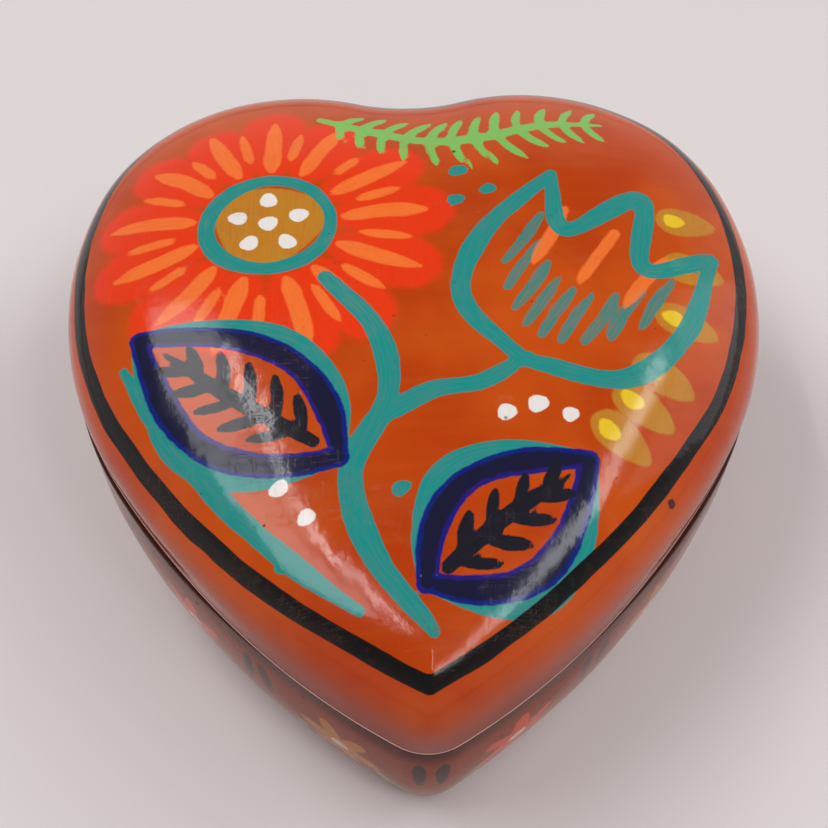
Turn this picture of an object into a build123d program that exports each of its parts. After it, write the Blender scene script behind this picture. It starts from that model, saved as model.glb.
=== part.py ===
"""Heart-shaped terracotta trinket box: a deep base with a domed lid that lifts off.

Millimetres, +Z up, the tip of the heart towards -Y, and the origin on the table under the
middle of the box. Both pieces are press-moulded red clay, painted and lacquered.
"""

import os
from math import acos, asin, atan2, cos, degrees, hypot, radians, sin, sqrt

from build123d import *

os.makedirs("parts", exist_ok=True)

# Outline of the lid's lower edge: arcs that run into one another, cleft to tip.
width = 150.0
length = 160.0
cleft_radius = 34.0
lobe_radius = 48.0
shoulder_radius = 86.0
tip_radius = 11.5
lobe_end = radians(15.0)
shoulder_end = radians(-32.0)

# Lid: a steep skirt that turns over into a low crown.
lid_height = 27.0
lid_edge_radius = 1.0
skirt_lean = 2.0
crown_reach = 50.0
crown_roundness = 1.4
skirt_roundness = 4.5
crown_flat_inset = 44.0
mitre_radius = 1.5
mitre_height = 17.0
lid_wall = 5.5
locating_rim_height = 5.0
locating_rim_wall = 3.5
locating_rim_clearance = 0.7

# Base: a cup that draws in towards its flat foot.
base_height = 39.0
base_setback = 1.0
base_wall = 5.0
base_floor = 6.0
foot_inset = 6.0
foot_draw = 3.0
foot_edge_radius = 2.0
mouth_edge_radius = 0.8

crown_steps = 9
base_steps = 5


def heart_arcs():
    """Centres of the outline's arcs on the right half, with the flank's radius."""
    shoulder = Vector(width / 2 - shoulder_radius, 0)
    lobe = shoulder + (shoulder_radius - lobe_radius) * Vector(cos(lobe_end), sin(lobe_end))
    along = Vector(cos(shoulder_end), sin(shoulder_end))
    tip = Vector(0, lobe.Y + lobe_radius - length + tip_radius)
    reach = tip - shoulder
    flank_radius = (
        shoulder_radius**2 - tip_radius**2 + reach.length**2 - 2 * shoulder_radius * reach.dot(along)
    ) / (2 * (shoulder_radius - tip_radius - reach.dot(along)))
    flank = shoulder - (flank_radius - shoulder_radius) * along
    cleft = Vector(0, lobe.Y + sqrt((lobe_radius + cleft_radius) ** 2 - lobe.X**2))
    to_middle = Vector(0, length / 2 - lobe.Y - lobe_radius)
    return [centre + to_middle for centre in (cleft, lobe, shoulder, flank)] + [flank_radius]


def heart(height, inset, tip):
    """The heart at one height, moved in from the lid's edge, with its own tip radius."""
    cleft, lobe, shoulder, flank, flank_radius = heart_arcs()
    tip_centre = Vector(0, flank.Y - sqrt((flank_radius - inset - tip) ** 2 - flank.X**2))
    cleft_turn = degrees(atan2(lobe.Y - cleft.Y, lobe.X))
    flank_turn = degrees(atan2(tip_centre.Y - flank.Y, -flank.X))
    lobe_turn = degrees(lobe_end)
    shoulder_turn = degrees(shoulder_end)
    with BuildSketch(Plane.XY.offset(height)) as outline:
        with BuildLine():
            CenterArc(cleft, cleft_radius + inset, -90, cleft_turn + 90)
            CenterArc(lobe, lobe_radius - inset, cleft_turn + 180, lobe_turn - cleft_turn - 180)
            CenterArc(shoulder, shoulder_radius - inset, lobe_turn, shoulder_turn - lobe_turn)
            CenterArc(flank, flank_radius - inset, shoulder_turn, flank_turn - shoulder_turn)
            CenterArc(tip_centre, tip, flank_turn, -90 - flank_turn)
            mirror(about=Plane.YZ)
        make_face()
    return outline.sketch


def dome_inset(rise, reach):
    """How far a dome has drawn in at a share of its height, by a superellipse."""
    return reach * (1 - (1 - rise**skirt_roundness) ** (1 / crown_roundness))


def dome_rise(inset, reach):
    return (1 - (1 - inset / reach) ** crown_roundness) ** (1 / skirt_roundness)


def dome_sections(height, wall, flat_inset):
    """Hearts from a dome's lower edge to its crown, a wall's thickness inside the lid."""
    reach = crown_reach - wall - skirt_lean
    top = dome_rise(flat_inset - wall - skirt_lean, reach)
    sections = []
    for step in range(crown_steps + 1):
        rise = top * sin(radians(90 * step / crown_steps))
        inset = wall + skirt_lean * rise + dome_inset(rise, reach)
        sharpening = min(rise * height / mitre_height, 1)
        tip = (tip_radius - wall / 2) * (1 - sharpening) + mitre_radius * sharpening
        sections.append(heart(base_height + rise * height, inset, tip))
    return sections


def base_sections(wall, bottom):
    """Hearts from the base's foot, or its floor, up to its mouth."""
    sections = []
    for step in range(base_steps + 1):
        height = bottom + (base_height - bottom) * step / base_steps
        draw = foot_inset * (1 - height / base_height) ** foot_draw
        inset = base_setback + draw + wall
        sections.append(heart(height, inset, tip_radius - inset / 2))
    return sections


rim_inset = base_setback + base_wall + locating_rim_clearance
bore_inset = rim_inset + locating_rim_wall
rim_tip = tip_radius - rim_inset / 2
bore_tip = tip_radius - bore_inset / 2

# base: the cup that holds the trinkets.
with BuildPart() as base:
    loft(base_sections(0, 0))
    foot_edges = base.faces().sort_by(Axis.Z)[0].edges()
    loft(base_sections(base_wall, base_floor), mode=Mode.SUBTRACT)
    fillet(foot_edges, foot_edge_radius)
    fillet(base.faces().sort_by(Axis.Z)[-1].edges(), mouth_edge_radius)

base.part.label = "base"
export_step(base.part, "parts/base.step")

# lid: a domed cover, hollow inside, with a rim that drops into the base's mouth.
with BuildPart() as lid:
    loft(dome_sections(lid_height, 0, crown_flat_inset))
    fillet(lid.faces().sort_by(Axis.Z)[0].edges(), lid_edge_radius)
    with BuildSketch(Plane.XY.offset(base_height - locating_rim_height)):
        add(heart(0, rim_inset, rim_tip))
    extrude(amount=locating_rim_height + lid_wall)
    fillet(lid.faces().sort_by(Axis.Z)[0].edges(), lid_edge_radius)
    with BuildSketch(Plane.XY.offset(base_height - locating_rim_height)):
        add(heart(0, bore_inset, bore_tip))
    extrude(amount=locating_rim_height, mode=Mode.SUBTRACT)
    loft(dome_sections(lid_height - lid_wall, bore_inset, crown_flat_inset), mode=Mode.SUBTRACT)

lid.part.label = "lid"
export_step(lid.part, "parts/lid.step")
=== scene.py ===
"""Heart-shaped terracotta trinket box, painted by hand and lacquered.

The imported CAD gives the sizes, the places and the two bodies. The lid and the base are modelled
again here as finer clay shells in the same places, with their painted design and lacquer.
"""

import math

import bpy
import numpy as np
from mathutils import Matrix, Vector


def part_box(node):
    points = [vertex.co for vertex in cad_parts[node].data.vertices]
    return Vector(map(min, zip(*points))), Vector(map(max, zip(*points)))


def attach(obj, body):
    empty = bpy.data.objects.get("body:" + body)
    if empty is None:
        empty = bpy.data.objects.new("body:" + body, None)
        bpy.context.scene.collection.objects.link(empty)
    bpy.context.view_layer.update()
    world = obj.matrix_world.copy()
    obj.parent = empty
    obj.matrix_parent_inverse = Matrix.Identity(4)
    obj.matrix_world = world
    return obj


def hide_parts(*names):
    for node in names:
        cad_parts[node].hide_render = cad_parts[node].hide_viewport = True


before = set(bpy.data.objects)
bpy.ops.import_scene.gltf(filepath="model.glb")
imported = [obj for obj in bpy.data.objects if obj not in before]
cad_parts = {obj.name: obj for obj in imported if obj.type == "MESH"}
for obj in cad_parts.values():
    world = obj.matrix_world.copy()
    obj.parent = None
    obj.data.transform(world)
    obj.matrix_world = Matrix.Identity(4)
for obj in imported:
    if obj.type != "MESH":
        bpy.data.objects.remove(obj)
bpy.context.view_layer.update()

# The lid: a pillow-shaped heart of red clay pressed into a mould, about 5 mm thick, with a steep
# skirt and a rim underneath that drops into the base. Its flanks meet in a crease above the tip.
# Its outline is the CAD's run of arcs, in millimetres, moved inwards ring by ring.
MM = 0.001
lid_low, lid_high = (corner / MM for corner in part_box("lid"))
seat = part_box("base")[1].z / MM
rim_bottom = lid_low.z
half_width = 75.0
length = 160.0
cleft_radius, lobe_radius, shoulder_radius, tip_radius = 34.0, 48.0, 86.0, 11.5
lobe_end, shoulder_end = math.radians(15), math.radians(-32)
arc_points = (12, 64, 46, 92, 14)
lid_height = 27.0
skirt_lean = 2.0
crown_reach = 50.0
skirt_roundness, crown_roundness = 4.5, 1.4
mitre_radius, mitre_height = 1.5, 17.0
crown_stop = 0.995
ring_limit = 44.0
clay_inside_box = 0.2
crown_top, settling = lid_high.z - 0.4, 0.3
lid_wall = 5.5
rim_inset, bore_inset = 6.7, 10.2
tuck_height, tuck_depth = 5.2, 1.35
tuck_start, tuck_run = -76.0, 42.0
lip_top, lip_bottom, lip_step, lip_rows = 4.0, 1.2, 0.35, 9
edge_round, seat_gap = 1.0, 0.1
round_steps = 5
swell_sizes = (60, 42, 29, 20, 20)


def arc_centres():
    shoulder = np.array([half_width - shoulder_radius, 0.0])
    out = np.array([math.cos(lobe_end), math.sin(lobe_end)])
    lobe = shoulder + (shoulder_radius - lobe_radius) * out
    along = np.array([math.cos(shoulder_end), math.sin(shoulder_end)])
    tip = np.array([0.0, lobe[1] + lobe_radius - length + tip_radius])
    reach = tip - shoulder
    flank_radius = (
        shoulder_radius**2 - tip_radius**2 + reach @ reach - 2 * shoulder_radius * (reach @ along)
    ) / (2 * (shoulder_radius - tip_radius - reach @ along))
    flank = shoulder - (flank_radius - shoulder_radius) * along
    cleft = np.array([0.0, lobe[1] + math.sqrt((lobe_radius + cleft_radius) ** 2 - lobe[0] ** 2)])
    middle = np.array([0.0, length / 2 - lobe[1] - lobe_radius])
    return cleft + middle, lobe + middle, shoulder + middle, flank + middle, flank_radius


def heart_ring(inset, tip):
    """Points round the heart, moved in from the lid's edge: down the right, up the left."""
    cleft, lobe, shoulder, flank, flank_radius = arc_centres()
    tip_y = flank[1] - math.sqrt((flank_radius - inset - tip) ** 2 - flank[0] ** 2)
    cleft_turn = math.atan2(lobe[1] - cleft[1], lobe[0])
    flank_turn = math.atan2(tip_y - flank[1], -flank[0])
    arcs = (
        (cleft, cleft_radius + inset, -math.pi / 2, cleft_turn),
        (lobe, lobe_radius - inset, cleft_turn + math.pi, lobe_end),
        (shoulder, shoulder_radius - inset, lobe_end, shoulder_end),
        (flank, flank_radius - inset, shoulder_end, flank_turn),
        (np.array([0.0, tip_y]), tip, flank_turn, -math.pi / 2),
    )
    right = []
    for (centre, radius, start, stop), count in zip(arcs, arc_points):
        turn = np.linspace(start, stop, count, endpoint=False)
        right.append(centre + radius * np.c_[np.cos(turn), np.sin(turn)])
    right = np.vstack([*right, [[0.0, tip_y - tip]]])
    return np.vstack([right, right[-2:0:-1] * (-1, 1)])


def tip_at(height, inset):
    """The tip's radius: round at the lower edge, and a crease from the shoulder up."""
    sharp = np.clip((height - seat) / mitre_height, 0, 1)
    return max(tip_radius - inset / 2, mitre_radius) * (1 - sharp) + mitre_radius * sharp


def dome(wall, height):
    """A dome's profile in even steps of a millimetre, a wall's thickness inside the lid."""
    rise = np.sin(np.linspace(0.0, math.asin(crown_stop), 600))
    reach = crown_reach - wall - skirt_lean
    inset = reach * (1 - (1 - rise**skirt_roundness) ** (1 / crown_roundness))
    inset = wall + skirt_lean * rise + inset
    level = seat + height * rise
    inside = inset < ring_limit
    inset, level = inset[inside], level[inside]
    run = np.r_[0, np.cumsum(np.hypot(np.diff(inset), np.diff(level)))]
    even = np.arange(0, run[-1], 1.0)
    return np.interp(even, run, inset), np.interp(even, run, level)


def rounded(inset, level, radius, start, stop):
    """A rounded edge of the profile, as a few (inset, level) steps of a quarter turn."""
    turn = np.radians(np.linspace(start, stop, round_steps))
    return list(zip(inset + radius * np.cos(turn), level + radius * np.sin(turn)))


def hand_pressed(points, seed, depth):
    """Slow unevenness of clay pressed by hand, in millimetres."""
    rng = np.random.default_rng(seed)
    swell = np.zeros(len(points))
    for size in swell_sizes:
        turn = rng.normal(size=(3, 3))
        turn /= np.linalg.norm(turn, axis=1)[:, None]
        for way in turn:
            wave = points @ way * 2 * math.pi / size + rng.uniform(0, 6.28)
            swell += size / swell_sizes[0] * np.sin(wave)
    return swell * depth / 4


def tucked_ring(inset, level, tuck):
    """A ring whose flanks and lobes are tucked in a little more than its tip is."""
    ring = heart_ring(inset, tip_at(level, inset))
    pulled = heart_ring(inset + tuck, tip_at(level, inset))
    share = np.clip((ring[:, 1:] - tuck_start) / tuck_run, 0, 1)
    share = share * share * (3 - 2 * share)
    return ring + (pulled - ring) * share


def clay_shell(name, profile, centre, closing, unevenness, tucks):
    """A closed shell of heart rings along a profile of (inset, level), shut at both ends."""
    rings = [tucked_ring(inset, level, tuck) for (inset, level), tuck in zip(profile, tucks)]
    levels = [level for inset, level in profile]
    shrinking = np.linspace(1, 0, closing + 1)[1:-1]
    opening = [centre + (rings[0] - centre) * share for share in shrinking[::-1]]
    ending = [centre + (rings[-1] - centre) * share for share in shrinking]
    rings = opening + rings + ending
    levels = [levels[0]] * len(opening) + levels + [levels[-1]] * len(ending)
    count = len(rings[0])
    points = np.vstack([np.c_[ring, np.full(count, level)] for ring, level in zip(rings, levels)])
    points = np.vstack([points, [[*centre, levels[0]], [*centre, levels[-1]]]])
    here = np.arange(count)
    after = (here + 1) % count
    faces = []
    for ring in range(len(rings) - 1):
        a, b = ring * count, (ring + 1) * count
        faces += np.c_[a + here, a + after, b + after, b + here].tolist()
    far = (len(rings) - 1) * count
    first_centre, last_centre = len(points) - 2, len(points) - 1
    faces += np.c_[after, here, np.full(count, first_centre)].tolist()
    faces += np.c_[far + here, far + after, np.full(count, last_centre)].tolist()
    mesh = bpy.data.meshes.new(name)
    mesh.from_pydata((points * MM).tolist(), [], faces)
    mesh.polygons.foreach_set("use_smooth", np.ones(len(faces), bool))
    normals = np.zeros(len(points) * 3)
    mesh.vertices.foreach_get("normal", normals)
    points = points + normals.reshape(-1, 3) * unevenness(points)[:, None]
    mesh.vertices.foreach_set("co", (points * MM).ravel())
    mesh.update()
    piece = bpy.data.objects.new(name, mesh)
    bpy.context.scene.collection.objects.link(piece)
    return piece, points, len(opening), count


crown_inset, crown_level = dome(clay_inside_box, lid_height)
crown_level = crown_top - settling * np.logaddexp(0, (crown_top - crown_level) / settling)
crown = [(inset, level) for inset, level in zip(crown_inset, crown_level) if level > seat + lip_top]
for level in np.arange(seat + lip_top, seat + lip_bottom, -lip_step):
    crown.insert(0, (np.interp(level, crown_level[:lip_rows], crown_inset[:lip_rows]), level))
hollow = zip(*dome(bore_inset, lid_height - lid_wall))
rim_round = rim_bottom + edge_round
lid_profile = crown[::-1]
lid_profile += rounded(edge_round + clay_inside_box, seat + seat_gap + edge_round, edge_round, 180, 270)
lid_profile += [(inset, seat + seat_gap) for inset in (2.0, 4.0, 6.0)]
lid_profile += [(rim_inset, level) for level in np.linspace(seat, rim_round, 5)]
lid_profile += rounded(rim_inset + edge_round, rim_round, edge_round, 180, 270)
lid_profile += rounded(bore_inset - edge_round, rim_round, edge_round, 270, 360)
lid_profile += [(bore_inset, level) for level in (seat - 2.0, seat)]
lid_profile += [(inset, level) for inset, level in hollow if level > seat + 0.5]
middle_of_lid = np.array([0.0, 14.0])


def lid_unevenness(points):
    clear_of_seat = np.clip((points[:, 2] - seat - 1) / 8, 0, 1)
    return hand_pressed(points, seed=4, depth=0.16) * clear_of_seat


def tuck_of(inset, level):
    """How far the lid's skirt draws in at a level, most at its lower edge."""
    on_skirt = level > seat and inset < 5
    return tuck_depth * math.exp(-((max(level - seat - 1, 0) / tuck_height) ** 2)) * on_skirt


lid_tucks = [tuck_of(inset, level) for inset, level in lid_profile]
lid, lid_points, lid_closing, ring_count = clay_shell(
    "painted_lid", lid_profile, middle_of_lid, closing=34, unevenness=lid_unevenness, tucks=lid_tucks
)
outside_rows = lid_closing + len(crown) + round_steps
crown_centre, top_of_crown = -2, 60.0
lid_outside = np.zeros(len(lid_points), bool)
lid_outside[: outside_rows * ring_count] = True
lid_outside[crown_centre] = True
inset_of = np.full(len(lid_points), top_of_crown)
for row, (inset, level) in enumerate(lid_profile):
    start = (row + lid_closing) * ring_count
    inset_of[start : start + ring_count] = inset
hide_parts("lid")
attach(lid, "lid")

# The painted design: brushed freehand on the lid in thinned earth colours, strokes 2 to 5 mm
# wide, then lacquered over. Each colour is a layer that knows, at each point of the clay, how far
# the nearest stroke's edge is, and the place across and along that stroke for the brush's streaks.
FAR = 9.0
pressing_share, lifting_share = 0.22, 0.35


class PaintLayer:
    """One colour of paint on a shell, measured over plan positions in millimetres."""

    def __init__(self, plan, seed=0):
        self.plan = plan
        self.edge = np.full(len(plan), FAR)
        self.across = np.zeros(len(plan))
        self.along = np.zeros(len(plan))
        self.rng = np.random.default_rng(seed)

    def near(self, line, reach):
        low, high = line.min(0) - reach, line.max(0) + reach
        return np.flatnonzero(((self.plan >= low) & (self.plan <= high)).all(1))

    def keep(self, at, edge, across, along):
        closer = edge < self.edge[at]
        at = at[closer]
        self.edge[at] = edge[closer]
        self.across[at] = across[closer]
        self.along[at] = along[closer]

    def stroke(self, points, width, start=0.55, end=0.25, waver=0.12):
        """A brush stroke along a smooth line: pressed down, carried, and lifted off."""
        line = smooth(points)
        run = np.r_[0, np.cumsum(np.hypot(*np.diff(line, axis=0).T))]
        share = run / run[-1]
        pressed = np.clip(share / pressing_share, 0, 1)
        lifted = np.clip((1 - share) / lifting_share, 0, 1)
        press = start + (1 - start) * np.sin(pressed * math.pi / 2)
        lift = end + (1 - end) * np.sin(lifted * math.pi / 2)
        phase = self.rng.uniform(0, 6.28, 2)
        sway = waver * (np.sin(run / 3.1 + phase[0]) + np.sin(run / 7.3 + phase[1])) / 2
        half = width / 2 * press * lift * (1 + sway)
        at = self.near(line, width)
        where = self.plan[at]
        best = np.full(len(at), FAR * 9)
        across = np.zeros(len(at))
        along = np.zeros(len(at))
        offset = self.rng.uniform(0, 90)
        for k in range(len(line) - 1):
            a, ab = line[k], line[k + 1] - line[k]
            size = ab @ ab + 1e-9
            t = np.clip((where - a) @ ab / size, 0, 1)
            away = where - a - t[:, None] * ab
            far = np.hypot(*away.T)
            edge = far - (half[k] + (half[k + 1] - half[k]) * t)
            better = edge < best
            best[better] = edge[better]
            side = np.sign(ab[0] * away[:, 1] - ab[1] * away[:, 0])
            across[better] = (far * side)[better]
            along[better] = (run[k] + t * math.sqrt(size))[better] + offset
        self.keep(at, best, across, along)

    def patch(self, outline):
        """A filled shape: inside counts as paint, measured to its outline."""
        line = np.vstack([outline, outline[:1]])
        at = self.near(line, 4.0)
        where = self.plan[at]
        far = np.full(len(at), FAR * 9)
        inside = np.zeros(len(at), bool)
        for a, b in zip(line[:-1], line[1:]):
            ab = b - a
            t = np.clip((where - a) @ ab / (ab @ ab + 1e-9), 0, 1)
            far = np.minimum(far, np.hypot(*(where - a - t[:, None] * ab).T))
            crosses = (a[1] > where[:, 1]) != (b[1] > where[:, 1])
            rise_of_edge = ab[1] if abs(ab[1]) > 1e-9 else 1e-9
            inside ^= crosses & (where[:, 0] < a[0] + ab[0] * (where[:, 1] - a[1]) / rise_of_edge)
        edge = np.where(inside, -far, far)
        middle = outline.mean(0)
        self.keep(at, edge, where[:, 0] - middle[0], where[:, 1] - middle[1] + self.rng.uniform(0, 90))

    def store(self, piece, name, allowed):
        value = np.c_[np.where(allowed, self.edge, FAR), self.across, self.along]
        layer = piece.data.attributes.new(name, "FLOAT_VECTOR", "POINT")
        layer.data.foreach_set("vector", value.astype(np.float32).ravel())


def smooth(points, step=1.2):
    """A smooth line through a few points, in even short steps."""
    points = np.asarray(points, float)
    if len(points) == 2:
        points = np.vstack([points[0], points.mean(0), points[1]])
    padded = np.vstack([2 * points[0] - points[1], points, 2 * points[-1] - points[-2]])
    line = []
    for p0, p1, p2, p3 in zip(padded, padded[1:], padded[2:], padded[3:]):
        count = max(2, int(np.hypot(*(p2 - p1)) / step))
        t = np.linspace(0, 1, count, endpoint=False)[:, None]
        bend = (2 * p0 - 5 * p1 + 4 * p2 - p3) * t**2 + (3 * p1 - p0 - 3 * p2 + p3) * t**3
        line.append(p1 + 0.5 * ((p2 - p0) * t + bend))
    return np.vstack([*line, points[-1:]])


def turned(points, angle):
    c, s = math.cos(angle), math.sin(angle)
    return np.asarray(points, float) @ np.array([[c, s], [-s, c]])


def leaf_side(root, point, belly, side, lean=0.45):
    """One edge of a leaf, bowed to one side of the line from its root to its point."""
    root, point = np.asarray(root, float), np.asarray(point, float)
    spine = point - root
    out = side * np.array([-spine[1], spine[0]]) / np.hypot(*spine)
    share = np.linspace(0, 1, 9)
    bow = np.sin(np.pi * share ** (math.log(0.5) / math.log(lean)))
    return root + share[:, None] * spine + (belly * bow)[:, None] * out


def petal(centre, angle, start, reach, width):
    """A drop-shaped petal that grows away from a flower's middle."""
    turn = np.linspace(0, 2 * math.pi, 22, endpoint=False)
    away = start + (reach - start) * (0.5 - 0.5 * np.cos(turn))
    fullness = 0.55 + 0.45 * (away - start) / (reach - start)
    shape = np.c_[away, width / 2 * np.sin(turn) * fullness]
    return np.asarray(centre) + turned(shape, angle)


def dab(layer, centre, size, angle=0.0, stretch=1.3):
    turn = np.linspace(0, 2 * math.pi, 14, endpoint=False)
    wobble = 1 + 0.08 * np.sin(3 * turn + centre[0])
    shape = size / 2 * np.c_[stretch * np.cos(turn) * wobble, np.sin(turn) * wobble]
    layer.patch(np.asarray(centre) + turned(shape, angle))


plan = lid_points[:, :2]
names = ("red_wash", "coral", "ochre", "yellow", "teal", "teal_hatch", "green", "navy", "ink", "white")
paint = {name: PaintLayer(plan, seed) for seed, name in enumerate(names)}
hand = np.random.default_rng(11)

# a big many-rayed bloom on the left lobe
bloom = np.array([-30.0, 25.0])
for k in range(13):
    angle = math.radians(360 / 13 * k + 6) + hand.normal(0, 0.03)
    paint["red_wash"].patch(petal(bloom, angle, 12.5, 37 + hand.normal(0, 1.5), 18.5))
    ray = bloom + turned([[16, 0], [24, hand.normal(0, 0.6)], [33.5 + hand.normal(0, 1.2), 0]], angle)
    paint["coral"].stroke(ray, 3.7, start=0.5, end=0.3)
    tick = bloom + turned([[19.5, 0], [29.5 + hand.normal(0, 1), 0]], angle + math.radians(180 / 13))
    paint["coral"].stroke(tick, 2.3, start=0.4, end=0.3)
ring = bloom + turned([[13.0 * math.cos(a), 12.4 * math.sin(a)] for a in np.linspace(0, 6.5, 22)], 0.4)
paint["teal"].stroke(ring, 3.6, start=0.7, end=0.6)
dab(paint["ochre"], bloom, 22, 0.3, 1.05)
for angle in np.radians([20, 92, 165, 236, 308]):
    dab(paint["white"], bloom + turned([[6.6, 0]], angle)[0], 3.7, angle, 1.15)
dab(paint["white"], bloom, 3.9, 0.8, 1.1)

# a stem that swings up from the tip to the bloom, with a side shoot that carries the tulip
stem = [(1, -66), (-9, -52), (-13, -36), (-6, -20), (-8, -4), (-18, 10)]
paint["teal"].stroke(stem, 4.6, start=0.5, end=0.7)
paint["teal"].stroke([(-9, -26), (2, -19), (12, -17), (21, -11)], 4.0, start=0.6, end=0.5)

# two broad leaves, outlined dark, with bold veins inside
for root, point, belly, veins in (((-15, -33), (-55, -2), 13.5, 5), ((0, -58), (31, -33), 12.0, 4)):
    for side in (-1, 1):
        paint["teal"].stroke(leaf_side(root, point, belly + 2.0, side), 4.6, start=0.6, end=0.6)
        paint["navy"].stroke(leaf_side(root, point, belly - 1.8, side), 4.3, start=0.6, end=0.6)
    root, point = np.array(root, float), np.array(point, float)
    spine = point - root
    way = spine / np.hypot(*spine)
    out = np.array([-way[1], way[0]])
    midrib = [root + 0.12 * spine, root + 0.5 * spine + out * 0.8, root + 0.86 * spine]
    paint["ink"].stroke(midrib, 2.7, start=0.8)
    for k in range(veins):
        share = 0.2 + 0.5 * k / (veins - 1)
        reach = (belly - 6.6) * math.sin(math.pi * (share + 0.1) ** 0.87) + hand.normal(0, 0.25)
        for side in (-1, 1):
            foot = root + (share + 0.02 * side) * spine
            spread = out * side * reach
            vein = [foot, foot + spread * 0.5 + way * 2.2, foot + spread + way * 5.6]
            paint["ink"].stroke(vein, 2.3, start=0.85, end=0.5)

# a tulip on the right, its cup hatched with a nearly dry brush
tulip = np.array([22.0, -9.0])
aim = math.radians(57)
size = 1.28
cup_edges = (
    [(-3, 0), (3, -14), (17, -18), (34, -15)],
    [(-3, 0), (3, 14), (17, 18), (34, 15)],
    [(34, -15), (24, -7), (38, 0), (24, 7), (34, 15)],
)
for edge in cup_edges:
    paint["teal"].stroke(tulip + turned(np.array(edge) * size, aim), 4.2, start=0.8, end=0.7)
for k in range(9):
    across = (-12.0 + 3.0 * k) * size
    start = 3.5 + 0.055 * across**2
    stop = (13.5 + 0.05 * across**2) * size
    line = [(start, across), ((start + stop) / 2, across + hand.normal(0, 0.3)), (stop, across)]
    paint["teal_hatch"].stroke(tulip + turned(line, aim), 2.3, start=0.7, end=0.5, waver=0.2)
for across in (-8.0, 0.0, 8.0):
    stamen = np.array([(15, across), (22, across * 1.05), (28, across * 1.15)]) * size
    paint["coral"].stroke(tulip + turned(stamen, aim), 2.6, start=0.4, end=0.8)

# a fern frond along the back of the box, over the cleft and the right lobe
frond = [(-20, 60), (-8, 55), (4, 51), (17, 52), (30, 56), (43, 57)]
paint["green"].stroke(frond, 3.0, start=0.6, end=0.35)
spine = smooth(frond, 1.0)
for k in np.linspace(5, len(spine) - 5, 12).astype(int):
    way = spine[k + 1] - spine[k - 1]
    forward = way / np.hypot(*way)
    inward = np.array([forward[1], -forward[0]])
    size = 5.0 + 5.5 * math.sin(k / len(spine) * math.pi) + hand.normal(0, 0.3)
    for side in (-0.85, 1.0):
        out = inward * size * side
        leaflet = [spine[k], spine[k] + out * 0.5 + forward * 1.2, spine[k] + out + forward * 3.6]
        paint["green"].stroke(leaflet, 2.0, start=0.8, end=0.2)

# a row of ochre petals with yellow hearts, down the right flank inside the border
flank = heart_ring(17.0, mitre_radius)
right_flank = flank[(flank[:, 0] > 0) & (flank[:, 1] < 30) & (flank[:, 1] > -30)]
for k in np.linspace(2, len(right_flank) - 3, 6).astype(int):
    centre = right_flank[k]
    way = right_flank[k + 1] - right_flank[k - 1]
    inward = np.array([way[1], -way[0]]) / np.hypot(*way)
    angle = math.atan2(inward[1], inward[0]) + hand.normal(0, 0.05)
    paint["ochre"].patch(petal(centre - inward * 6.5, angle, 0, 13.5, 10.2 + hand.normal(0, 0.4)))
    dab(paint["yellow"], centre + inward * 3.0, 3.8, angle)

# a long sweep down the left flank, and dots and dabs in the open places
sweep = heart_ring(11.0, mitre_radius)
sweep = sweep[(sweep[:, 0] < 0) & (sweep[:, 1] < -6) & (sweep[:, 1] > -62)]
paint["teal"].stroke(sweep[::7], 3.6, start=0.5, end=0.4)
teal_dots = [(10, 40, 3.6), (16, 34, 3.2), (9, 31, 3.2), (-4, -40, 3.0), (0, -45, 2.8), (-25, -52, 2.6)]
white_dots = [(16, -24, 3.4), (22, -22, 3.6), (28, -24, 3.0), (-26, -38, 3.2), (-21, -44, 3.0)]
for x, y, size in teal_dots:
    dab(paint["teal"], (x, y), size, 0.5)
for x, y, size in white_dots:
    dab(paint["white"], (x, y), size, 0.6, 1.2)

design_edge, unpainted = 3.0, -5.0
for name, layer in paint.items():
    layer.store(lid, name, lid_outside & (inset_of > design_edge))
band = lid.data.attributes.new("inset", "FLOAT", "POINT")
band.data.foreach_set("value", np.where(lid_outside, inset_of, unpainted).astype(np.float32))

# The lacquered paint itself: a red-orange ground brushed over the clay, the design on top of it,
# pinholes and specks from the clay, fine scratches from use, painted shade darkening the skirt, a
# painted highlight along the lid's lower edge, and the smooth shine of the lacquer.


class Value:
    """A socket in a material, so that shader maths can be written as sums."""

    def __init__(self, finish, socket):
        self.finish = finish
        self.socket = socket

    def maths(self, operation, first, second=0.0, clamp=False):
        settings = {"operation": operation, "use_clamp": clamp}
        return self.finish.node("ShaderNodeMath", settings, {0: first, 1: second})

    def __add__(self, other):
        return self.maths("ADD", self, other)

    def __sub__(self, other):
        return self.maths("SUBTRACT", self, other)

    def __mul__(self, other):
        return self.maths("MULTIPLY", self, other)

    def __truediv__(self, other):
        return self.maths("DIVIDE", self, other)

    def __rsub__(self, other):
        return self.maths("SUBTRACT", other, self)

    __radd__ = __add__
    __rmul__ = __mul__

    def held(self):
        """The value kept between 0 and 1."""
        return self.maths("ADD", self, 0.0, clamp=True)

    def size(self):
        return self.maths("ABSOLUTE", self)

    def most(self, other):
        return self.maths("MAXIMUM", self, other)


# a Mix node's sockets for colours, by number, because its other kinds use the same names
mix_share, mix_under, mix_over, mixed = 0, 6, 7, 2


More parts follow.
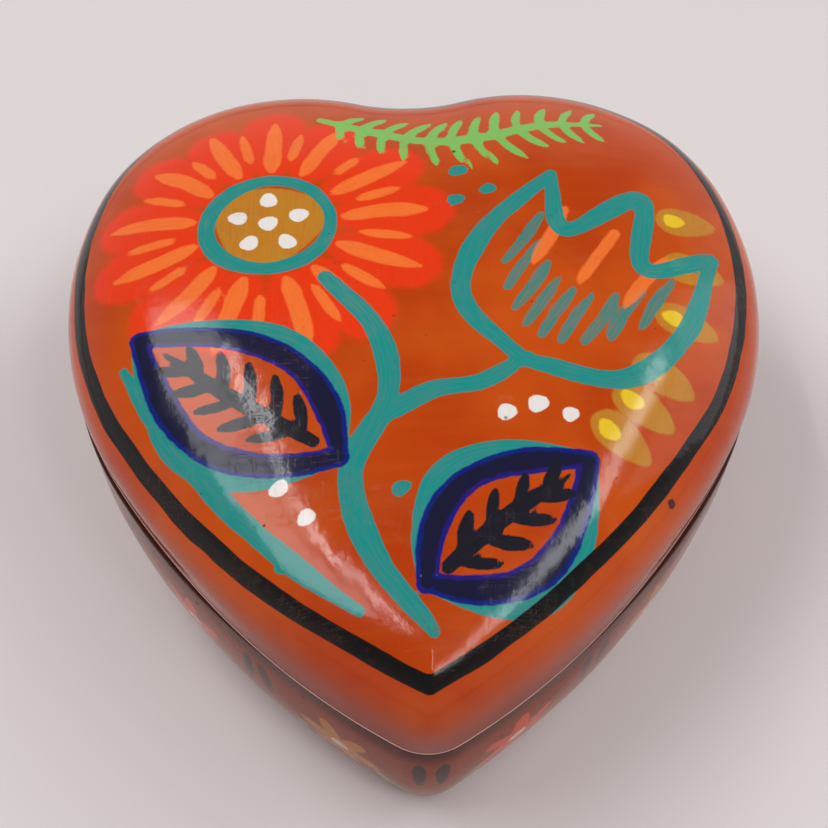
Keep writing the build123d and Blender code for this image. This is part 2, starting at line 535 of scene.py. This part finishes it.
class Finish:
    """A material, or a world, in the making. Every node of it is added by node()."""

    def __init__(self, owner, surface="Principled BSDF"):
        owner.use_nodes = True
        self.tree = owner.node_tree
        self.surface = self.tree.nodes[surface]

    def node(self, kind, settings=None, sockets=None, output=0):
        made = self.tree.nodes.new(kind)
        for name, setting in (settings or {}).items():
            setattr(made, name, setting)
        for name, value in (sockets or {}).items():
            if isinstance(value, Value):
                self.tree.links.new(value.socket, made.inputs[name])
            else:
                made.inputs[name].default_value = value
        return Value(self, made.outputs[output])

    def place(self, stretch=(1.0, 1.0, 1.0)):
        """The point on the piece in millimetres, stretched along an axis where asked."""
        here = self.node("ShaderNodeTexCoord", output="Object")
        scale = [1 / (MM * s) for s in stretch]
        return self.node("ShaderNodeVectorMath", {"operation": "MULTIPLY"}, {0: here, 1: scale})

    def noise(self, size, detail=2.0, rough=0.5, at=None):
        """Cloudy noise with blotches about size millimetres across, from 0 to 1."""
        sockets = {"Vector": at or self.place(), "Scale": 1 / size, "Detail": detail, "Roughness": rough}
        return self.node("ShaderNodeTexNoise", {"noise_dimensions": "3D"}, sockets, "Fac")

    def step(self, value, low, high):
        """0 below low, 1 above high, and smooth between."""
        sockets = {"Value": value, "From Min": low, "From Max": high}
        return self.node("ShaderNodeMapRange", {"interpolation_type": "SMOOTHSTEP"}, sockets)

    def over(self, under, colour, share):
        """One colour laid over another by a share from 0 to 1."""
        under, colour = (tint if isinstance(tint, Value) else (*tint, 1.0) for tint in (under, colour))
        sockets = {mix_share: share, mix_under: under, mix_over: colour}
        return self.node("ShaderNodeMix", {"data_type": "RGBA"}, sockets, mixed)

    def joined(self, x, y, z=0.0):
        return self.node("ShaderNodeCombineXYZ", None, {"X": x, "Y": y, "Z": z})

    def axis(self, vector, axis):
        """One axis of a vector: how far along it."""
        return self.node("ShaderNodeSeparateXYZ", None, {"Vector": vector}, axis)

    def spots(self, spacing, radius, share, seed):
        """Scattered round specks: their strength from 0 to 1."""
        shift = (seed, seed * 1.7, seed * 0.6)
        shifted = self.node("ShaderNodeVectorMath", {"operation": "ADD"}, {0: self.place(), 1: shift})
        settings = {"feature": "F1", "voronoi_dimensions": "3D"}
        sockets = {"Vector": shifted, "Scale": 1 / spacing, "Randomness": 1.0}
        away = self.node("ShaderNodeTexVoronoi", settings, sockets, "Distance") * spacing
        cell = self.node("ShaderNodeTexVoronoi", settings, sockets, "Color")
        chance = self.node("ShaderNodeSeparateColor", None, {"Color": cell}, "Red")
        spread = self.node("ShaderNodeSeparateColor", None, {"Color": cell}, "Green")
        reach = (spread * 0.8 + 0.4) * radius
        chosen = self.step(chance, 1 - share, 1 - share + 0.02)
        return (1 - self.step(away / reach, 0.55, 1.0)) * chosen

    def set(self, **sockets):
        for name, value in sockets.items():
            socket = self.surface.inputs[name.replace("_", " ")]
            if isinstance(value, Value):
                self.tree.links.new(value.socket, socket)
            else:
                socket.default_value = value


def brushed(finish, layer, opacity, softness=0.16, streaks=0.25, ragged=0.22, spread=0.0):
    """How much of one layer's paint covers each point, with the brush's streaks and edge."""
    paint_at = finish.node("ShaderNodeAttribute", {"attribute_name": layer}, output="Vector")
    edge, across, along = (finish.axis(paint_at, axis) for axis in "XYZ")
    wander = (finish.noise(2.2, 3.0) - 0.5) * (2 * ragged)
    covered = 1 - finish.step(edge + wander, spread - softness, spread + softness)
    hairs = finish.noise(1.0, 2.0, at=finish.joined(across * 2.3, along * 0.16))
    thin = finish.noise(6.0, 2.0)
    cover = 1 - (1 - finish.step(hairs * 0.7 + thin * 0.3, 0.3, 0.62)) * streaks
    return covered * cover * opacity


# each layer's colour, opacity, softness, streaks, raggedness and spread, from the bottom up
lid_paint = (
    ("red_wash", (0.92, 0.040, 0.006), 0.9, 1.1, 0.2, 0.9, 0.0),
    ("ochre", (0.56, 0.245, 0.022), 0.95, 0.35, 0.25, 0.3, 0.0),
    ("teal_hatch", (0.012, 0.26, 0.23), 0.93, 0.2, 0.3, 0.25, 0.0),
    ("coral", (0.98, 0.20, 0.035), 0.95, 0.3, 0.25, 0.25, 0.0),
    ("yellow", (0.88, 0.60, 0.02), 0.97, 0.3, 0.1, 0.3, 0.0),
    ("green", (0.19, 0.58, 0.12), 0.96, 0.2, 0.15, 0.2, 0.0),
    ("teal", (0.005, 0.29, 0.265), 0.99, 0.16, 0.08, 0.2, 0.0),
    ("navy", (0.006, 0.010, 0.20), 0.99, 0.2, 0.04, 0.3, 0.45),
    ("navy", (0.010, 0.010, 0.034), 0.98, 0.3, 0.05, 0.5, -0.45),
    ("ink", (0.010, 0.012, 0.021), 1.0, 0.16, 0.02, 0.2, 0.1),
    ("white", (0.88, 0.84, 0.80), 0.99, 0.16, 0.08, 0.2, 0.0),
)


def ground(finish):
    """The red-orange slip, brushed on thicker in some places than in others."""
    sweep = finish.noise(26.0, 3.0)
    brush = finish.noise(3.0, 3.0, at=finish.place((9.0, 1.0, 3.0)))
    tone = finish.over((0.50, 0.046, 0.001), (0.62, 0.086, 0.004), finish.step(sweep, 0.3, 0.7))
    return finish.over(tone, (0.54, 0.090, 0.008), finish.step(brush, 0.45, 0.75) * 0.3)


def aged(finish, colour, wear):
    """Pinholes, dark specks, pale dust and fine scratches, and the height that they take."""
    pits = finish.spots(6.5, 0.55, 0.5, 3.0).most(finish.spots(3.0, 0.27, 0.28, 19.0))
    crowded = finish.step(finish.noise(26.0, 1.0), 0.45, 0.58)
    pits = pits * (crowded * 0.8 + 0.2)
    dust = finish.spots(9.0, 0.26, 0.3, 41.0)
    line = finish.noise(1.0, 1.0, at=finish.place((16.0, 0.45, 2.0)))
    crossing = finish.noise(1.0, 1.0, at=finish.place((0.5, 13.0, 2.0)))
    scratched = finish.step(finish.noise(17.0, 2.0), 0.55, 0.66)
    lengthways = 1 - finish.step((line - 0.5).size(), 0.0, 0.012)
    sideways = 1 - finish.step((crossing - 0.5).size(), 0.0, 0.009)
    scratch = lengthways.most(sideways) * scratched * wear
    colour = finish.over(colour, (0.05, 0.022, 0.014), pits * 0.85)
    colour = finish.over(colour, (0.62, 0.46, 0.38), dust * 0.55)
    colour = finish.over(colour, (0.20, 0.062, 0.03), scratch * 0.35)
    return colour, pits, scratch


def bare_clay(finish, colour, bare):
    """Fired clay with no paint, where the piece was left bare."""
    raw_clay = finish.over((0.36, 0.125, 0.055), (0.46, 0.185, 0.09), finish.noise(9.0, 4.0))
    return finish.over(colour, raw_clay, bare)


bump = {"Strength": 0.35, "Distance": 0.0004}

lid_clay = bpy.data.materials.new("lacquered_painted_lid")
lacquer = Finish(lid_clay)
colour = ground(lacquer)
for layer, tint, *way_of_brushing in lid_paint:
    colour = lacquer.over(colour, tint, brushed(lacquer, layer, *way_of_brushing))
inset = lacquer.node("ShaderNodeAttribute", {"attribute_name": "inset"}, output="Fac")
wander = (lacquer.noise(9.0, 1.5) - 0.5) * 0.7 + (lacquer.noise(34.0, 1.0) - 0.5) * 1.2
border_low, border_width, border_drift, border_fade = 3.4, 2.9, 1.8, 0.2
drifting = lacquer.step(lacquer.axis(lacquer.place(), "X"), -48.0, 2.0)
from_border = inset + wander - border_low - drifting * border_drift
border_start = lacquer.step(from_border, 0.0, border_fade)
border_end = lacquer.step(from_border, border_width - border_fade, border_width)
border_hairs = lacquer.step(lacquer.noise(1.6, 3.0), 0.2, 0.5) * 0.05 + 0.95
colour = lacquer.over(colour, (0.008, 0.007, 0.007), border_start * (1 - border_end) * border_hairs)
level = lacquer.axis(lacquer.place(), "Z")
# painted shade: the skirt's colour is darkened towards the lid's lower edge, over its lowest 16 mm
skirt = 1 - lacquer.step(level, seat + 1.0, seat + 16.0)
colour = lacquer.over(colour, (0.18, 0.010, 0.0005), skirt * 0.85)
colour, pits, scratch = aged(lacquer, colour, 1.0)
chip_place, chip_reach = (46.5, -38.5, 54.5), 1.1
chip_sockets = {0: lacquer.place(), 1: chip_place}
to_chip = lacquer.node("ShaderNodeVectorMath", {"operation": "DISTANCE"}, chip_sockets, "Value")
chip = 1 - lacquer.step(to_chip + (lacquer.noise(0.9, 2.0) - 0.5) * 1.2, chip_reach - 0.2, chip_reach)
colour = lacquer.over(colour, (0.030, 0.010, 0.006), chip * 0.9)
pits = pits.most(chip)
# painted highlight: a pale, uneven line just above the lid's lower edge, where the lacquered edge catches
# light
edge_highlight_low = lacquer.step(level, seat + 0.4, seat + 0.5)
edge_highlight_high = lacquer.step(level, seat + 1.15, seat + 1.4)
painted_edge_highlight = edge_highlight_low * (1 - edge_highlight_high) * (lacquer.noise(5.0, 2.0) * 0.4 + 0.65).held()
colour = lacquer.over(colour, (0.95, 0.62, 0.48), painted_edge_highlight)
bare = 1 - lacquer.step(inset, unpainted + 1.0, unpainted + 4.0)
colour = bare_clay(lacquer, colour, bare)
swirl = lacquer.noise(7.0, 2.0) * 0.55 + lacquer.noise(2.1, 2.0) * 0.1 + lacquer.noise(0.8, 2.0) * 0.07
height = swirl - pits * 0.9 - scratch * 0.12 + bare * lacquer.noise(0.9, 4.0) * 0.5
shine = lacquer.noise(11.0, 3.0) * 0.1 + 0.05 + pits * 0.4 + scratch * 0.15
lacquer.set(
    Base_Color=colour,
    Roughness=shine.most(bare * 0.85),
    IOR=1.34,
    Normal=lacquer.node("ShaderNodeBump", None, {**bump, "Height": height}),
)
lid.data.materials.append(lid_clay)

# The base: a deep cup of the same clay, pressed in a mould and trimmed flat at its foot and mouth.
# Its wall draws in towards the foot and is darker than the lid all over, with painted shade
# blackening its top just under the lid, and quick flowers between paired strokes. The inside and the
# foot are left as bare clay.
base_setback, base_wall, base_floor = 1.0, 5.0, 6.0
foot_inset, foot_draw = 6.0, 3.0
foot_edge, mouth_edge, inner_corner = 2.0, 0.9, 4.0
mouth = seat - 0.05 - mouth_edge


def wall_inset(level):
    return base_setback + foot_inset * (1 - level / seat) ** foot_draw


inner_levels = np.linspace(base_floor + inner_corner, seat - 2.0, 12)
outer_levels = np.linspace(mouth, foot_edge, 34)
floor_edge = wall_inset(inner_levels[0]) + base_wall
base_profile = [(floor_edge + 9.0, base_floor), (floor_edge + 6.5, base_floor)]
base_profile += rounded(floor_edge + inner_corner, inner_levels[0], inner_corner, 270, 180)
base_profile += [(wall_inset(level) + base_wall, level) for level in inner_levels[1:]]
mouth_in, mouth_out = wall_inset(seat) + base_wall, wall_inset(seat)
base_profile += rounded(mouth_in - mouth_edge, mouth, mouth_edge, 0, 90)
first_wall_row = len(base_profile)
base_profile += rounded(mouth_out + mouth_edge, mouth, mouth_edge, 90, 180)
base_profile += [(wall_inset(level), level) for level in outer_levels[1:-1]]
foot_out = wall_inset(foot_edge)
base_profile += rounded(foot_out + foot_edge, foot_edge, foot_edge, 180, 270)
last_wall_row = len(base_profile) - 2
base_profile += [(foot_out + 6.0, 0.0), (foot_out + 12.0, 0.0)]


def base_unevenness(points):
    wall = np.clip(points[:, 2] / 8, 0, 1) * np.clip((seat - points[:, 2]) / 6, 0, 1)
    return hand_pressed(points, seed=9, depth=0.28) * wall


base_tucks = [0.0] * len(base_profile)
base, base_points, base_closing, ring_count = clay_shell(
    "painted_base", base_profile, middle_of_lid, closing=16, unevenness=base_unevenness, tucks=base_tucks
)
ring = heart_ring(wall_inset(seat), tip_radius)
round_base = np.r_[0, np.cumsum(np.hypot(*np.diff(ring, axis=0).T))]
unrolled = np.c_[np.zeros(len(base_points)), base_points[:, 2]]
base_outside = np.zeros(len(base_points), bool)
for row in range(len(base_profile)):
    start = (row + base_closing) * ring_count
    unrolled[start : start + ring_count, 0] = round_base
    if first_wall_row <= row <= last_wall_row:
        base_outside[start : start + ring_count] = True

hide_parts("base")
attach(base, "base")

wall_names = ("wall_black", "wall_red", "wall_ochre", "wall_green", "wall_white")
wall_paint = {name: PaintLayer(unrolled, 30 + seed) for seed, name in enumerate(wall_names)}
hand = np.random.default_rng(23)
around = round_base[-1]
motifs = 12
for k in range(motifs):
    x = around * (k + 0.5) / motifs
    y = 21 + hand.normal(0, 0.8)
    flower = np.array([x, y])
    bright = wall_paint["wall_red"] if k % 2 else wall_paint["wall_ochre"]
    for angle in np.radians(np.arange(0, 360, 60) + hand.uniform(0, 40)):
        bright.stroke(flower + turned([[2.4, 0], [5.2, 0], [8.2, 0]], angle), 4.0, start=0.5, end=0.7)
    dab(wall_paint["wall_white"], flower, 3.4)
    for side in (-1, 1):
        leafy = flower + np.array([[side * 8.5, -3], [side * 12, -8], [side * 17, -9.5]])
        wall_paint["wall_green"].stroke(leafy, 3.2, start=0.4, end=0.2)
    for gap in (-2.3, 2.3):
        middle = (x + around / motifs / 2 + gap) % around
        tilt = hand.normal(0, 0.4)
        wall_paint["wall_black"].stroke([(middle + tilt, 31.5), (middle, 26), (middle - tilt, 20.5)], 2.6)
for name, layer in wall_paint.items():
    layer.store(base, name, base_outside)
painted = base.data.attributes.new("painted", "FLOAT", "POINT")
painted.data.foreach_set("value", base_outside.astype(np.float32))

base_clay = bpy.data.materials.new("lacquered_painted_base")
glaze = Finish(base_clay)
level = glaze.axis(glaze.place(), "Z")
colour = glaze.over(ground(glaze), (0.085, 0.010, 0.003), 0.7)
# painted shade: the wall darkens to near black over its top 9 mm, under the lid's overhang
colour = glaze.over(colour, (0.018, 0.004, 0.003), glaze.step(level, seat - 9.0, seat - 0.5) * 0.85)
for layer, tint, opacity in (
    ("wall_green", (0.16, 0.34, 0.10), 0.75),
    ("wall_ochre", (0.52, 0.19, 0.03), 0.8),
    ("wall_red", (0.72, 0.07, 0.02), 0.8),
    ("wall_white", (0.70, 0.60, 0.52), 0.9),
    ("wall_black", (0.014, 0.012, 0.012), 0.96),
):
    colour = glaze.over(colour, tint, brushed(glaze, layer, opacity, 0.25, 0.35, 0.3))
colour, pits, scratch = aged(glaze, colour, 0.5)
painted_here = glaze.node("ShaderNodeAttribute", {"attribute_name": "painted"}, output="Fac")
bare = 1 - glaze.step(painted_here, 0.3, 0.7)
colour = bare_clay(glaze, colour, bare)
swirl = glaze.noise(8.0, 2.0) * 0.6 + glaze.noise(2.1, 2.0) * 0.12
height = swirl - pits * 0.9 + bare * glaze.noise(0.9, 4.0) * 0.5
shine = glaze.noise(11.0, 3.0) * 0.1 + 0.08 + pits * 0.4
glaze.set(
    Base_Color=colour,
    Roughness=shine.most(bare * 0.85),
    IOR=1.16,
    Normal=glaze.node("ShaderNodeBump", None, {**bump, "Height": height}),
)
base.data.materials.append(base_clay)

# The table: a plain pale sheet that the box stands on. Soft window light falls on it from the left
# and the right, in the upright strips that the lacquer mirrors, with a pale wall all round.
sheet = bpy.data.meshes.new("table")
table_reach = 3.0
corners = [(x * table_reach, y * table_reach, 0) for x, y in ((-1, -1), (1, -1), (1, 1), (-1, 1))]
sheet.from_pydata(corners, [], [(0, 1, 2, 3)])
table = bpy.data.objects.new("table", sheet)
bpy.context.scene.collection.objects.link(table)
pale_cloth = bpy.data.materials.new("pale_table")
cloth = Finish(pale_cloth)
cloth.set(
    Base_Color=cloth.over((0.79, 0.735, 0.735), (0.84, 0.785, 0.785), cloth.noise(120.0, 3.0)),
    Roughness=cloth.noise(60.0, 2.0) * 0.1 + 0.6,
)
sheet.materials.append(pale_cloth)

look_at = Vector((0, 0, 50)) * MM


def window(name, way, distance, width, height, watts, colour=(1, 1, 1)):
    """A soft rectangular light that faces the box from a direction."""
    lamp = bpy.data.lights.new(name, "AREA")
    lamp.shape = "RECTANGLE"
    lamp.size, lamp.size_y = width, height
    lamp.energy = watts
    lamp.color = colour
    holder = bpy.data.objects.new(name, lamp)
    way = Vector(way).normalized()
    holder.location = look_at + way * distance
    holder.rotation_mode = "QUATERNION"
    across = Vector((0, 1, 0)).cross(way).normalized()
    lengthways = way.cross(across)
    facing = Matrix((across, lengthways, way)).transposed()
    holder.rotation_quaternion = facing.to_quaternion()
    bpy.context.scene.collection.objects.link(holder)


window("left_window", (-0.52, 0.16, 0.82), 1.1, 0.24, 0.92, 3.9)
window("left_window_gap", (-0.375, 0.13, 0.86), 1.1, 0.028, 0.84, 1.6)
window("right_window", (0.60, -0.05, 0.80), 1.1, 0.09, 1.15, 3.2)
window("right_window_foot", (0.34, -0.42, 0.84), 1.1, 0.14, 0.18, 0.8)
window("right_wall", (0.93, 0.35, 0.55), 1.4, 0.8, 0.8, 2.6)

# the room is pale low down, as a wall is, and dimmer overhead
wall_height, ceiling_height, wall_glow, ceiling_glow = 0.2, 0.68, 0.66, 0.19
world = bpy.data.worlds.new("room")
room = Finish(world, "Background")
upwards = room.axis(room.node("ShaderNodeTexCoord", output="Generated"), "Z")
rise = room.step(upwards, wall_height, ceiling_height)
room.set(
    Color=(1.0, 0.965, 0.96, 1),
    Strength=wall_glow - rise * (wall_glow - ceiling_glow),
)
bpy.context.scene.world = world
bpy.context.scene.view_settings.view_transform = "Standard"

# The camera: it stands in front of the tip and looks down at the lid, as the photograph does. It is
# placed by the middle of the seat, in millimetres, and its lens by the photograph's frame.
focal_pixels, photo_pixels, centre_drop_pixels = 1299.0, 828.0, 7.7
elevation, turn, roll = 0.94, 0.0331, -0.0058
distance = 273.5
aim_across, aim_along = -0.46, -3.53
sideways = Vector((math.cos(turn), -math.sin(turn), 0))
forwards = Vector((math.sin(turn), math.cos(turn), 0))
up = forwards * math.sin(elevation) + Vector((0, 0, math.cos(elevation)))
back = forwards * -math.cos(elevation) + Vector((0, 0, math.sin(elevation)))
right = sideways * math.cos(roll) - up * math.sin(roll)
up = sideways * math.sin(roll) + up * math.cos(roll)
target = sideways * aim_across + forwards * aim_along + Vector((0, 0, seat))
lens = bpy.data.cameras.new("camera")
lens.sensor_width = 36.0
lens.lens = lens.sensor_width * focal_pixels / photo_pixels
lens.shift_y = -centre_drop_pixels / photo_pixels
lens.clip_start = 0.01
camera = bpy.data.objects.new("camera", lens)
facing = Matrix((right, up, back)).transposed().to_4x4()
camera.matrix_world = Matrix.Translation((target + back * distance) * MM) @ facing
bpy.context.scene.collection.objects.link(camera)
bpy.context.scene.camera = camera
